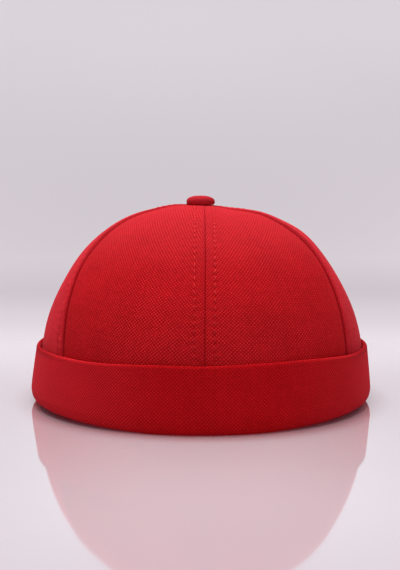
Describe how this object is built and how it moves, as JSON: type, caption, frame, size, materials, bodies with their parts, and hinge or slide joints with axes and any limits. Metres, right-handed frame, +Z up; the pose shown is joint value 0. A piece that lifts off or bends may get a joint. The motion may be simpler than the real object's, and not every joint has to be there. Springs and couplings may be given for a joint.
{
  "type": "docker beanie",
  "caption": "Brimless close-fitting cloth cap: a round crown of sewn panels with a covered button on top and a turned-up doubled cuff, open below for the head.",
  "frame": {"origin": "on the surface that the cap rests on, below the middle of the crown", "axes": "+Z up through the top button, -Y towards the front seam, +X to the right as the front is looked at"},
  "size_m": [0.19, 0.212, 0.1131],
  "materials": {
    "crown_cloth": "matt brushed cotton in a coarse even weave, red",
    "cuff_cloth": "the same red cotton, folded double",
    "button_cloth": "the same red cotton, drawn tight over a button"
  },
  "bodies": {
    "root": {"front_left_panel": "crown_cloth", "front_right_panel": "crown_cloth", "side_left_panel": "crown_cloth", "side_right_panel": "crown_cloth", "back_left_panel": "crown_cloth", "back_right_panel": "crown_cloth", "cuff": "cuff_cloth", "top_button": "button_cloth"}
  },
  "joints": []
}
